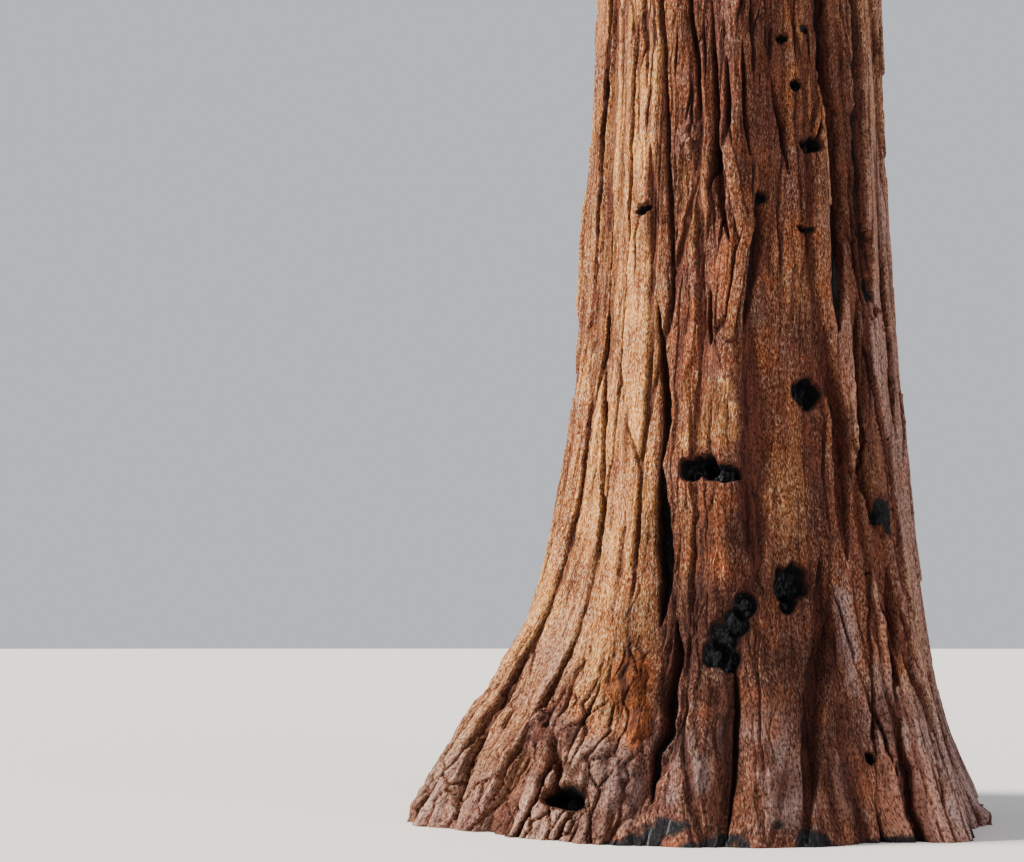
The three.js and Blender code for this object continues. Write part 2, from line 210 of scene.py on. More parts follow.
def makeBark(name, look):
    material, tree, shader = newMaterial(name, 0.92, 0.15)
    flow = attributeOf(tree, "flow", "Vector")
    furrow, sunk, tone, tanAndPaintedSun, pale, moss, char, paintedShade = (attributeOf(tree, key) for key in barkKeys)
    grain = useGroup(tree, fibreGroup, {
        "Place": flow, "Scale": look["fibreScale"], "Stretch": look["fibreStretch"],
    })
    fibre, fleckAndPaintedGlint = grain["Fibre"], grain["FleckAndPaintedGlint"]
    mottle = noiseOf(tree, flow, 7.0, 5.0, 0.65)
    warmth = noiseOf(tree, flow, 2.7, 4.0, 0.6)
    wrinkles = noiseOf(tree, stretched(tree, flow, (1.0, 1.0, 4.5)), 15.0, 3.0, 0.6)
    streaks = noiseOf(tree, stretched(tree, flow, (1.0, 1.0, 0.09)), 13.0, 3.0, 0.6)
    light = times(tree, mapRange(tree, tone, 0.25, 0.75), 0.25)
    light = plus(tree, light, mapRange(tree, streaks, 0.64, 0.36, 0, 0.25))
    light = plus(tree, times(tree, fibre, 0.55), light)
    red, tan, orange = (
        mixColour(tree, light, look[key + "Dark"], look[key + "Light"]) for key in ("red", "tan", "orange")
    )
    recessColourAndPaintedShade = mixColour(tree, grain["Strand"], look["recessDark"], look["recessLight"])
    pores = mapRange(tree, grain["Pore"], 0, 1, 1, look["pore"])
    # the pores, times painted shade in the shaded zones
    darker = times(tree, pores, mapRange(tree, paintedShade, 0, 1, 1, look["paintedShade"]))
    # coal: char with lighter painted glints on its fibres, and specks of ash
    coal = mixColour(tree, mapRange(tree, fibre, 0.5, 0.85), look["char"], look["charPaintedGlint"])
    coal = mixColour(tree, times(tree, fleckAndPaintedGlint, 0.13), coal, look["ash"])
    # the share of each layer over those before it, its colour, and how it is laid on
    layers = (
        # tan where the bark is bleached, and as painted sunlight on the lit left flank
        (tanAndPaintedSun, tan),
        (mapRange(tree, warmth, 0.44, 0.62, 0, 0.85), orange),
        (mapRange(tree, mottle, 0.5, 0.72, 0, 0.42), look["plateGrey"]),
        # pale flecks, partly pale fibre and partly painted highlights, more of them on the tan and
        # painted-sunlit bark
        (times(tree, fleckAndPaintedGlint, mapRange(tree, tanAndPaintedSun, 0, 1, 0.3, 0.7)), look["fleckAndPaintedGlint"]),
        (times(tree, pale, mapRange(tree, fibre, 0, 1, 0.45, 1)), look["pale"]),
        (times(tree, moss, mapRange(tree, fibre, 0, 1, 0.405, 0.9)), look["moss"]),
        # the recess colours over dark vertical streaks, sunken plates and furrows, and the furrow colour
        # in the deepest: partly the bark's darker inner fibre, partly painted shade in the hollows
        (mapRange(tree, streaks, 0.53, 0.62, 0, 0.65), recessColourAndPaintedShade),
        (times(tree, sunk, 0.75), recessColourAndPaintedShade),
        (mapRange(tree, furrow, 0.06, 0.45, 0, 0.85), recessColourAndPaintedShade),
        (mapRange(tree, furrow, 0.6, 1.0), look["furrow"]),
        (1.0, darker, "MULTIPLY"),
        # painted shade in the wrinkles of the pale bark, darker where the bump is low
        (times(tree, mapRange(tree, wrinkles, 0.5, 0.36, 0, 0.35), pale), look["recessDark"]),
        (mapRange(tree, char, 0.3, 0.6), coal),
    )
    colour = red
    for share, over, *blend in layers:
        colour = mixColour(tree, share, colour, over, *blend)
    height = plus(tree, grain["Height"], times(tree, times(tree, wrinkles, pale), 3.0))
    feed(tree, shader, {
        "Base Color": colour,
        "Roughness": mapRange(tree, char, 0.2, 1.0, 0.92, 0.5),
        "Coat Weight": mapRange(tree, char, 0.5, 1.0, 0, 0.28),
        "Coat Roughness": 0.3,
        "Normal": bumpOf(tree, height, look["bump"], look["bumpDepth"]),
    })
    return material


barkMaterial = makeBark("sequoiaBark", barkLook)

limbLook = dict(
    barkLook, redDark=srgb(92, 56, 38), redLight=srgb(156, 106, 76), orangeDark=srgb(108, 62, 38),
    orangeLight=srgb(168, 112, 74), plateGrey=srgb(150, 128, 112),
)

limbMaterial = makeBark("limbBark", limbLook)
print("materials made")

# The trunk's plain form, as in the source.
trunk = {
    "height": 40.0, "columnRadius": 0.935, "tipRadius": 0.022, "stoutness": 0.27,
    "flareReach": 0.516, "flareHeight": 1.415, "flareBend": 0.93, "buttressBend": 2.2,
    "leanReach": 0.356, "leanHeight": 6.0,
    # turn, spread in degrees, reach and rise
    "buttresses": [
        (-68, 19, 0.440, 0.980), (-44, 12, 0.200, 0.900), (-24, 9, 0.150, 0.520), (-7, 7, 0.060, 1.100),
        (8, 7, 0.050, 0.900), (23, 8, 0.060, 1.000), (49, 11, 0.137, 1.250), (82, 12, 0.079, 0.413),
        (112, 14, 0.230, 0.900), (143, 10, 0.120, 1.100), (170, 13, 0.260, 0.800), (201, 11, 0.150, 1.200),
        (232, 12, 0.240, 0.900), (257, 9, 0.110, 1.000),
    ],
    # count, size, start in degrees, and drift in degrees for each metre of height
    "flutes": [(5, 0.026, 40, 1.1), (9, 0.020, 200, -1.6), (13, 0.013, 95, 2.3)],
}


def axisAt(z):
    z = np.asarray(z, float)
    shift = trunk["leanReach"] * (1 - np.exp(-z / trunk["leanHeight"]))
    return np.stack([shift, np.zeros_like(z), z], -1)


def columnRadius(z):
    left = 1 - np.asarray(z, float) / trunk["height"]
    share = left * (1 + trunk["stoutness"] * (1 - left))
    return trunk["tipRadius"] + (trunk["columnRadius"] - trunk["tipRadius"]) * share


def trunkRadius(turn, z):
    column = columnRadius(z)
    ridges = sum(
        size * np.sin(np.radians(count * (turn - start - drift * z)))
        for count, size, start, drift in trunk["flutes"]
    )
    flare = trunk["flareReach"] * np.exp(-((z / trunk["flareHeight"]) ** trunk["flareBend"]))
    for place, spread, reach, rise in trunk["buttresses"]:
        aside = ((turn - place + 180) % 360 - 180) / spread
        flare = flare + reach * np.exp(-(aside ** 2) - (z / rise) ** trunk["buttressBend"])
    return column + ridges * column / trunk["columnRadius"] + flare


# Soft noise that closes on itself round the trunk. Both places are in cells.
def softNoise(across, up, count, seed):
    rows = int(np.ceil(up.max())) + 4
    lattice = np.random.RandomState(seed).uniform(-1, 1, (rows, count))
    column, row = np.floor(across).astype(int), np.floor(up).astype(int)
    x, y = (part * part * (3 - 2 * part) for part in (across - column, up - row))

    def corner(aside, above):
        return lattice[(row + above) % rows, (column + aside) % count]

    return mix(mix(corner(0, 0), corner(1, 0), x), mix(corner(0, 1), corner(1, 1), x), y)


# Long plates that meet in furrows: how far a place is from its plate's edge, and the plate's own tone.
def plateEdges(across, up, count, stretch, seed, toneRows=None):
    rows = int(np.ceil(up.max())) + 6
    toneStart = 2 * count * (toneRows or rows)
    stream = np.random.RandomState(seed).random_sample(toneStart + 2 * rows * count)
    seats = 0.5 + 0.84 * (stream[:2 * rows * count].reshape(rows, count, 2) - 0.5)
    tones = stream[toneStart:toneStart + rows * count].reshape(rows, count)
    column, row = np.floor(across).astype(int), np.floor(up).astype(int)

    def seatsWithin(reach):
        for above in range(-reach, reach + 1):
            for aside in range(-reach, reach + 1):
                x, y = column + aside, row + above
                seat = seats[y % rows, x % count]
                yield x + seat[..., 0] - across, y + seat[..., 1] - up, tones[y % rows, x % count]

    nearest = np.full((4, *across.shape), 99.0)
    for x, y, tone in seatsWithin(1):
        here = np.stack([x * x + y * y, x, y, tone])
        nearest = np.where(here[0] < nearest[0], here, nearest)
    _, nearX, nearY, tone = nearest
    edge = np.full(across.shape, 9.0)
    for x, y, _ in seatsWithin(2):
        gapX, gapY = x - nearX, y - nearY
        real = np.maximum(np.hypot(gapX, gapY / stretch), 1e-6)
        far = ((x + nearX) * gapX + (y + nearY) * gapY) / (2 * real)
        level = ease(0.8, 0.25, np.abs(gapX) / real)
        other = np.hypot(gapX, gapY) > 1e-6
        edge = np.where(other, np.minimum(edge, far + 0.6 * level), edge)
    return edge, tone


relief = {
    # plates round the trunk, their height, how deep and wide the furrows between them are, how much
    # one plate stands out over the next, in metres, how far the furrows run on or break off, and how
    # much the layer marks the furrows, the sunken bark and the tone
    "broad": {
        "count": 25, "tall": 2.6, "deep": 0.054, "wide": 0.021, "step": 0.016, "sunk": 0.038,
        "whole": 0.72, "broken": 0.35, "marks": (1.1, 1.0, 0.4), "seed": 11,
    },
    "middle": {
        "count": 60, "tall": 1.2, "deep": 0.020, "wide": 0.008, "step": 0.012, "sunk": 0.016,
        "whole": 0.5, "broken": 0.6, "marks": (1.0, 0.7, 0.35), "seed": 12,
    },
    "narrow": {
        "count": 150, "tall": 0.34, "deep": 0.006, "wide": 0.004, "step": 0.005, "sunk": 0.005,
        "whole": 0.45, "broken": 0.5, "marks": (0.3, 0.25, 0.25), "seed": 13,
    },
    # how far the furrows stray sideways: waves round the trunk, their height, degrees
    "strays": [(7, 2.4, 4.5), (26, 0.55, 0.8), (64, 0.19, 0.65), (150, 0.075, 0.38)],
    "blocks": {"count": 80, "tall": 0.14, "deep": 0.020, "wide": 0.006},
    "gnarl": 0.011, "fadeTop": 0.45, "narrowTop": 5.4, "grain": 0.0022,
}

# Furrows of the front: points as turn and height, width, depth, and how black they are. The black is laid
# on in char colour along the deep of the furrow, partly char and partly painted shadow.
furrows = [
    ([(-27.5, 2.94), (-22.9, 2.48), (-21.8, 2.24), (-22.8, 2.0)], 0.030, 0.07, 0.7),
    ([(-22.8, 2.0), (-21.2, 1.74), (-18.5, 1.35), (-19.0, 1.11)], 0.045, 0.11, 1.0),
    ([(-14.8, 1.13), (-13.3, 0.95), (-14.7, 0.75), (-14.1, 0.56), (-16.3, 0.46),
      (-15.4, 0.21)], 0.04, 0.10, 0.9),
    ([(-54.6, 2.66), (-53.5, 2.4), (-48.4, 1.78), (-43.6, 1.37)], 0.022, 0.06, 0.4),
    ([(-33.0, 5.5), (-32.0, 4.86), (-29.0, 4.33), (-26.4, 3.82), (-22.7, 3.2),
      (-21.6, 2.8)], 0.022, 0.05, 0.55),
    ([(-40.6, 5.5), (-41.6, 4.92), (-38.8, 4.64), (-37.0, 4.3)], 0.030, 0.03, 0.2),
    ([(-33.7, 3.95), (-31.9, 3.59), (-31.1, 3.2)], 0.030, 0.03, 0.2),
    ([(-37.0, 3.55), (-40.6, 3.41), (-38.8, 3.1)], 0.014, 0.04, 0.6),
    ([(-19.5, 5.1), (-18.8, 4.74), (-15.6, 4.42), (-14.4, 4.05)], 0.020, 0.05, 0.7),
    ([(-10.2, 4.5), (-8.1, 4.08), (-8.5, 3.74), (-10.3, 3.6)], 0.020, 0.05, 0.8),
    ([(-4.4, 4.4), (-3.6, 4.03), (-5.5, 3.7)], 0.022, 0.05, 0.8),
    ([(1.6, 4.5), (3.0, 4.06), (5.4, 3.8)], 0.018, 0.05, 0.6),
    ([(14.0, 4.3), (17.8, 4.0), (19.9, 3.7)], 0.018, 0.05, 0.7),
    ([(-10.3, 4.78), (-8.4, 4.05), (-5.3, 3.48), (-2.0, 3.27)], 0.024, 0.06, 0.5),
    ([(9.0, 3.6), (8.6, 3.43), (7.6, 3.2), (3.1, 2.74)], 0.040, 0.05, 0.8),
    ([(34.0, 5.5), (35.9, 4.8), (39.2, 4.12), (40.3, 3.63), (39.0, 3.2), (37.6, 2.78)], 0.072, 0.10, 0.9),
    ([(58.5, 5.5), (56.2, 4.88), (53.2, 4.17), (51.8, 3.66), (50.2, 2.86)], 0.060, 0.07, 0.85),
    ([(-8.6, 3.0), (-8.0, 2.68)], 0.022, 0.06, 0.5),
    ([(4.1, 2.92), (7.6, 2.23), (5.8, 1.78), (7.3, 1.35)], 0.100, 0.055, 0.0),
    ([(32.1, 2.8), (33.6, 2.55), (37.1, 2.24), (36.0, 1.74), (35.9, 1.46)], 0.050, 0.08, 0.4),
    ([(46.6, 3.02), (43.7, 2.56), (43.3, 1.89), (46.0, 1.61)], 0.030, 0.07, 0.4),
    ([(1.2, 0.93), (1.9, 0.66), (1.3, 0.36), (-0.2, 0.03)], 0.014, 0.05, 0.6),
    ([(27.2, 1.46), (26.4, 1.05), (22.3, 0.79), (18.9, 0.47), (15.6, 0.03)], 0.075, 0.08, 0.3),
    ([(48.4, 1.47), (44.6, 1.05), (43.2, 0.79)], 0.035, 0.07, 0.4),
    ([(-46.0, 0.66), (-39.3, 0.48), (-36.5, 0.33), (-37.1, 0.22)], 0.030, 0.07, 0.6),
    ([(46.0, 0.99), (50.6, 0.49), (50.4, 0.0)], 0.030, 0.05, 0.2),
]

# Loose strips that stand proud: points, width, and how far they stand out.
strips = [
    ([(-6.6, 4.07), (-2.0, 3.7), (2.6, 3.31)], 0.034, 0.022),
    ([(7.4, 3.54), (1.9, 3.2), (-1.9, 2.71)], 0.028, 0.022),
    ([(69.0, 5.5), (66.0, 4.6), (62.0, 3.8), (57.0, 3.0)], 0.055, 0.010),
    ([(33.9, 4.35), (35.4, 4.0), (36.8, 3.55)], 0.020, 0.012),
    ([(45.5, 1.30), (45.2, 0.90), (44.8, 0.48), (45.2, 0.20), (45.4, -0.2)], 0.024, 0.022),
    ([(51.4, 1.50), (50.7, 1.00), (51.0, 0.60), (51.0, 0.32), (50.0, -0.2)], 0.026, 0.024),
]

# Charred hollows: turn, height, width, height of the scar, tilt in degrees, depth.
scars = [
    (-10.8, 1.975, 0.22, 0.12, 6, 0.10),
    (-7.6, 2.00, 0.12, 0.09, -20, 0.08),
    (-3.0, 1.935, 0.24, 0.08, -4, 0.07),
    (25.4, 2.413, 0.20, 0.19, 0, 0.10),
    (51.4, 1.723, 0.23, 0.22, 0, 0.004),
    (17.7, 1.331, 0.20, 0.18, 10, 0.10),
    (16.6, 1.22, 0.09, 0.13, -20, 0.05),
    (4.3, 1.215, 0.13, 0.16, 30, 0.03),
    (2.0, 1.125, 0.12, 0.17, 32, 0.03),
    (-0.9, 1.045, 0.13, 0.17, 34, 0.04),
    (-3.0, 0.955, 0.16, 0.13, 10, 0.03),
    (0.6, 0.92, 0.12, 0.12, 0, 0.04),
    (-32.9, 0.213, 0.26, 0.12, 0, 0.14),
    (18.4, 4.543, 0.055, 0.05, 0, 0.05),
    (23.5, 4.253, 0.075, 0.06, 0, 0.06),
    (29.9, 3.888, 0.14, 0.10, 0, 0.08),
    (10.1, 3.554, 0.05, 0.06, 0, 0.05),
    (-36.2, 3.546, 0.09, 0.07, 0, 0.06),
    (51.4, 3.046, 0.08, 0.13, 0, 0.05),
    (35.2, 0.408, 0.06, 0.07, 0, 0.06),
    (25.1, 3.376, 0.11, 0.035, -4, 0.03),
    (26.8, 4.608, 0.05, 0.05, 0, 0.01),
]

# Darker patches: turn, height, width, height, and how dark.
darkPatches = [
    (23.6, 4.05, 0.08, 0.42, 0.8),
    (8.0, 3.3, 0.09, 0.60, 0.8),
    (-32.4, 3.62, 0.07, 0.60, 0.7),
    (51.0, 2.06, 0.12, 0.12, 0.8),
    (-4.0, 0.737, 0.12, 0.14, 0.9),
    (8.2, 0.412, 0.14, 0.12, 0.9),
    (11.6, 1.148, 0.14, 0.18, 0.8),
    (12.0, 3.72, 0.20, 0.22, 0.6),
    (30.0, 4.45, 0.08, 0.50, 0.5),
]

# Lighter patches: turn, height, width, height, and how light. The low ones are grey, the others tan.
lightPatches = [
    (33.6, 1.02, 0.13, 0.66, 0.7),
    (-4.8, 0.34, 0.16, 0.22, 0.75),
    (13.6, 0.20, 0.30, 0.18, 0.85),
    (27.4, 0.29, 0.16, 0.36, 0.6),
    (40.5, 0.72, 0.12, 0.50, 0.5),
    (-11.0, 0.42, 0.14, 0.16, 0.5),
    (-8.0, 2.28, 0.36, 0.50, 0.75),
    (-13.5, 1.55, 0.12, 0.70, 0.35),
    (17.0, 1.90, 0.26, 0.90, 0.35),
    (-16.5, 3.55, 0.24, 0.70, 0.35),
    (22.0, 3.05, 0.26, 0.50, 0.30),
    (27.0, 4.35, 0.20, 0.80, 0.35),
    (46.0, 2.05, 0.20, 0.60, 0.35),
    (-20.0, 4.70, 0.16, 0.60, 0.30),
]

# Burls and swellings: turn, height, width, height, how far out, share of moss, share of pale bark.
burls = [
    (-25.0, 0.80, 0.28, 0.34, 0.045, 1.0, 0.0),
    (-20.6, 0.60, 0.14, 0.30, 0.03, 1.0, 0.0),
    (-28.4, 0.38, 0.50, 0.30, 0.05, 0.0, 0.6),
    (-44.0, 0.54, 0.42, 0.34, 0.04, 0.0, 0.5),
    (-21.1, 0.26, 0.30, 0.26, 0.04, 0.0, 0.6),
    (-37.8, 0.50, 0.30, 0.26, 0.03, 0.0, 0.5),
    (75.4, 0.06, 0.16, 0.12, 0.05, 0.0, 0.3),
    (-18.0, 3.936, 0.22, 0.30, 0.02, 0.0, 0.1),
]

# Zones of the bark: the turns where each starts, is full, starts to end and ends, and the same in height.
zones = {
    "smooth": (-34, -16, 28, 46, -2, -1, 2.9, 3.7),
    "plain": (-75, -60, -26, -20, 0.7, 1.2, 3.0, 3.8),
    "leftTop": (-90, -75, -30, -22, 2.6, 3.6, 6, 10),
    "upper": (-46, -38, 28, 46, 2.2, 2.8, 6, 10),
    "rightPlates": (20, 34, 80, 100, -2, -1, 98, 99),
    "toes": (-999, -998, -40, -20, -2, -1, 0.3, 1.5),
    "soot": (-28, -20, 50, 80, -2, -1, 98, 99),
    "greyish": (-24, -16, 40, 60, 0.02, 0.1, 0.4, 0.9),
    "rust": (-24, -16, 40, 60, -2, -1, 1.1, 1.9),
    "front": (-120, -90, 80, 110, -2, -1, 6, 11),
    # the zones from here down are where painted shade darkens the colour
    "rightShade": (8, 30, 90, 120, 1.4, 3.0, 7, 12),
    "lowMiddle": (-36, -22, 24, 38, -2, -1, 1.2, 2.2),
    "centre": (-30, -18, 22, 36, -2, -1, 7, 11),
    "lowLeft": (-100, -80, -34, -22, 0.4, 1.0, 1.5, 2.6),
    "foot": (-110, -90, -20, -8, -2, -1, 0.4, 0.8),
}


# How far each place on the skin is from a turn, round the trunk in metres.
def asideOf(turn, place, radius):
    return ((turn - place + 180) % 360 - 180) * np.radians(1) * radius


# The shortest way from each place on the skin to a row of points, in metres, and how far along it is.
def distanceTo(points, turn, z, radius):
    best = np.full(turn.shape, 99.0)
    share = np.zeros(turn.shape)
    for k, ((turnA, zA), (turnB, zB)) in enumerate(zip(points, points[1:])):
        x, y = asideOf(turn, turnA, radius), z - zA
        runX, runY = (turnB - turnA) * np.radians(1) * radius, zB - zA
        along = np.clip((x * runX + y * runY) / np.maximum(runX * runX + runY * runY, 1e-9), 0, 1)
        far = np.hypot(x - runX * along, y - runY * along)
        share = np.where(far < best, (k + along) / (len(points) - 1), share)
        best = np.minimum(best, far)
    return best, share


# One layer of plates: how far the skin stands out, its furrows, its sunken plates and its tones.
def plateLayer(part, followed, z, radius, column, ragged, fine):
    count, seed = part["count"], part["seed"]
    across = followed * count
    stretch = part["tall"] * count / (2 * math.pi * 1.1)
    toneRows = int(np.ceil(trunkMesh["lowTop"] / part["tall"])) + 6
    edge, tone = plateEdges(across, z / part["tall"], count, stretch, seed, toneRows)
    edge = edge * 2 * math.pi * radius / count * (1 + 0.18 * ragged)
    strength = part["whole"] + 0.6 * softNoise(across, z / 0.95, count, seed + 50)
    strength = strength + part["broken"] * softNoise(across, z / 0.28, count, seed + 70)
    wide = part["wide"] * np.clip(strength, 0.35, 1.3) * (column / trunk["columnRadius"]) ** 0.7
    floor = ease(wide * 1.3 + 0.003, wide * (0.55 if fine else 0.2), edge)
    valley = floor * np.clip(strength, 0.0, 1.3)
    rounding = np.exp(-((edge / (wide * 2.0)) ** 2)) * 0.14
    sunk = ease(0.30, 0.12, tone) * ease(wide, wide * 2.2 + 0.004, edge)
    height = part["step"] * (tone - 0.5) * 2 * (1 - floor) - part["deep"] * (rounding + valley)
    return height + part["sunk"] * (0.2 - sunk), valley, sunk, tone


def barkRelief(turn, z, radius, fine):
    cells = turn / 360

    def noise(count, tall, seed):
        return softNoise(cells * count, z / tall, count, seed)

    def zone(name):
        return band(turn, *zones[name][:4]) * band(z, *zones[name][4:])

    # 1 on the rim of an oval, less inside it
    def oval(place, height, wide, tall, tilt=0):
        x, y = asideOf(turn, place, radius), z - height
        cos, sin = math.cos(math.radians(tilt)), math.sin(math.radians(tilt))
        return np.hypot((x * cos + y * sin) * 2 / wide, (y * cos - x * sin) * 2 / tall)

    wander = np.zeros(turn.shape)
    narrowTop = relief["narrowTop"]
    for k, (waves, tall, most) in enumerate(relief["strays"]):
        if fine or k < 2:
            fading = ease(narrowTop, narrowTop - 0.6, z) if k > 1 else 1
            wander = wander + most * fading * noise(waves, tall, 21 + k)
    followed = (turn + wander) / 360
    column = columnRadius(z)
    fade = (column / trunk["columnRadius"]) ** 0.8 * mix(1, relief["fadeTop"], z / trunk["height"])
    ragged = noise(160, 0.05, 41) + 0.6 * noise(60, 0.14, 42)
    smooth, plain = zone("smooth"), zone("plain")
    middle = mix(1, 0.38, smooth) * (1 - 0.7 * plain) * (1 - 0.35 * zone("leftTop"))
    shares = {
        "broad": mix(1, 0.3, np.maximum(smooth, 0.75 * zone("upper"))) * (1 - 0.25 * plain),
        "middle": middle + 0.7 * zone("rightPlates"),
        "narrow": ease(narrowTop, narrowTop - 0.4, z),
    }
    # furrow and sunk mark where the material lays its recess colours, partly darker bark and partly
    # painted shade in the hollows
    out, furrow, sunk, char, pale, moss, lit = (np.zeros(turn.shape) for _ in range(7))
    tone = np.full(turn.shape, 0.0 if fine else 0.125)
    for name in ("broad", "middle", "narrow") if fine else ("broad", "middle"):
        share = shares[name]
        furrowMark, sunkMark, toneMark = relief[name]["marks"]
        layer = plateLayer(relief[name], followed, z, radius, column, ragged, fine)
        height, valley, itsSunk, itsTone = layer
        if name == "broad":
            height = height * (1 + 0.5 * zone("toes"))
        out = out + height * share
        furrow = np.maximum(furrow, valley * share * furrowMark)
        sunk = np.maximum(sunk, itsSunk * share * sunkMark)
        tone = tone + mix(0.5, itsTone, share if name == "narrow" else 1) * toneMark
    out = (out + relief["grain"] * (noise(220, 0.07, 31) + 0.6 * noise(400, 0.035, 32))) * fade
    if fine:
        for points, width, deep, black in furrows:
            far, share = distanceTo(points, turn + wander * 0.25, z, radius)
            taper = np.sin(np.clip(share, 0.01, 0.99) * math.pi) ** 0.55
            half = width * taper * (1 + 0.16 * ragged)
            valley = ease(half * 1.1, half * 0.5, far)
            out = out - deep * valley * taper - 0.008 * np.exp(-((far / (half * 2.0)) ** 2))
            # darker along the furrow, with its deepest line in char colour: partly char, partly painted
            # shadow
            furrow = np.maximum(furrow, valley * (0.35 + 0.65 * black))
            sunk = np.maximum(sunk, valley)
            char = np.maximum(char, black * 0.62 * ease(half * 0.7, half * 0.25, far))
        for points, width, proud in strips:
            far, share = distanceTo(points, turn, z, radius)
            far = far * (1 + 0.14 * ragged)
            top = ease(width * 1.08, width * 0.9, far) * ease(0.0, 0.35, share)
            out = mix(out, proud + 0.2 * out, top)
            rim = np.exp(-(((far - width * 1.2) / (width * 0.2)) ** 2)) * ease(0.1, 0.5, share)
            furrow = np.clip(np.maximum(furrow * (1 - top), rim * 0.8), 0, 1)
            lit = np.maximum(lit, top)
            sunk = sunk * (1 - top)
        facetEdge, facetTone = plateEdges(cells * 190, z / 0.035, 190, 1.0, 83)
        facets = 1.4 * facetTone + np.minimum(facetEdge, 0.5)
        for *place, deep in scars:
            far = oval(*place) + 0.24 * ragged
            inside = ease(1.08, 0.8, far)
            out = out - deep * inside * (1 + 0.12 * ragged) - 0.02 * inside * facets
            char = np.maximum(char, (0.6 if deep < 0.01 else 1.0) * ease(1.06, 0.92, far))
            furrow = np.maximum(furrow, 0.5 * ease(1.4, 1.0, far))
        for *place, dark in darkPatches:
            sunk = np.maximum(sunk, dark * ease(1.2, 0.5, oval(*place) + 0.2 * ragged))
        for *place, light in lightPatches:
            patch = light * ease(1.2, 0.5, oval(*place) + 0.25 * ragged)
            if place[1] < 1.2:
                pale = np.maximum(pale, patch)
            else:
                lit = np.maximum(lit, 6 * patch)
        lumpEdge, _ = plateEdges(cells * 84, z / 0.10, 84, 1.0, 81)
        lumps = 0.075 * (np.minimum(lumpEdge, 0.4) - 0.2) + 0.012 * ragged
        for *place, proud, mossShare, paleShare in burls:
            far = oval(*place) + 0.1 * ragged
            bulge = ease(1.1, 0.1, far)
            out = out * (1 - 0.5 * bulge) + bulge * (proud + lumps)
            furrow = np.maximum(furrow * (1 - 0.6 * bulge), bulge * ease(0.008, -0.012, lumps) * 0.6)
            sunk = sunk * (1 - bulge)
            moss = np.maximum(moss, mossShare * ease(1.0, 0.82, far))
            pale = np.maximum(pale, paleShare * ease(0.05, 0.5, bulge))
        blocks = relief["blocks"]
        count = blocks["count"]
        blockEdge, blockTone = plateEdges(followed * count, z / blocks["tall"], count, 2.4, 82)
        blockEdge = blockEdge * 2 * math.pi * radius / count
        blocky = ease(1.3, 0.5, z + 0.2 * ragged) * ease(-8, -30, turn)
        crack = ease(blocks["wide"] * 1.6, blocks["wide"] * 0.4, blockEdge) * blocky
        out = out - blocks["deep"] * (crack - 0.8 * (blockTone - 0.5) * blocky)
        out = out + relief["gnarl"] * (noise(90, 0.085, 84) + 0.6 * noise(190, 0.045, 85)) * blocky
        furrow = np.maximum(furrow, 0.7 * crack)
        soot = noise(40, 0.12, 61) + 0.5 * ragged
        soot = soot - (z - 0.085 - 0.12 * np.exp(-(((turn + 16) / 5) ** 2))) / 0.10
        char = np.maximum(char, 0.6 * ease(0.3, 1.1, soot) * zone("soot"))
        low = ease(1.1, 0.2, z + 0.5 * noise(14, 0.5, 51))
        left, right = ease(-12, -34, turn), ease(30, 50, turn)
        behind = ease(80, 110, np.abs(turn)) * ease(0.5, -0.3, noise(9, 0.5, 52))
        edges = np.clip(1 - furrow * 1.6, 0, 1) * (1 - 0.7 * sunk)
        pale = np.maximum(pale, mix(0.2, 0.6, ease(0.35, 0.65, tone)) * right * ease(5.6, 4.6, z) * edges)
        pale = np.maximum(pale, 0.9 * low * np.clip(mix(0.15, 1, left) + right - behind, 0, 1) * edges)
        greyish = ease(-0.05, 0.45, noise(30, 0.30, 54) + 0.5 * noise(70, 0.12, 55))
        pale = np.maximum(pale, 0.7 * greyish * zone("greyish") * edges)
        rust = noise(26, 0.34, 93) + 0.5 * noise(64, 0.13, 94)
        moss = np.maximum(moss, 0.5 * ease(0.15, 0.65, rust) * zone("rust") * edges)
        sunk = np.maximum(sunk, 0.75 * ease(-0.35, -0.75, rust) * zone("rust"))
    # tan on the left of the front, partly sun-bleached bark and partly painted sunlight on the lit flank,
    # red in its middle, tan in patches all round
    front = zone("front")
    paintedSunlitFlank = ease(-116, -92, turn) * ease(-18, -34, turn + 7 * noise(12, 0.9, 71))
    patches = ease(0.1, 0.7, noise(5, 3.0, 72) * 0.7 + noise(17, 1.1, 73) * 0.5)
    tanAndPaintedSun = mix(patches * 0.75, mix(patches * 0.35, 1, paintedSunlitFlank), front) * mix(0.62, 1, ease(0.5, 1.3, z))
    tanAndPaintedSun = np.maximum(tanAndPaintedSun, 0.16 * lit) + 0.12 * ease(26, 44, turn) * front
    dapple = noise(24, 0.28, 91) + 0.6 * noise(60, 0.11, 92)
    # painted shade: the colour is darkened on the right, in the centre, low on the left, low in the middle
    # and at the foot, in dapples in the last two, and less where the bark is pale
    paintedShades = [
        0.10 * zone("rightShade"),
        0.22 * zone("centre"),
        0.28 * zone("lowLeft"),
        zone("lowMiddle") * np.clip(1 + 0.7 * dapple, 0, 1.5),
        0.75 * zone("foot") * np.clip(0.25 + dapple, 0, 1),
    ]
    return {
        "out": out, "turn": turn + wander * 0.8, "tone": tone, "pale": pale, "moss": moss, "char": char,
        "furrow": np.clip(furrow, 0, 1), "sunk": np.clip(sunk, 0, 1), "tanAndPaintedSun": np.clip(tanAndPaintedSun, 0, 1),
        "paintedShade": np.max(paintedShades, 0) * (1 - 0.6 * pale),
    }


def gridNormals(points):
    around = np.roll(points, -1, 1) - np.roll(points, 1, 1)
    return unit(np.cross(around, np.gradient(points, axis=0)))


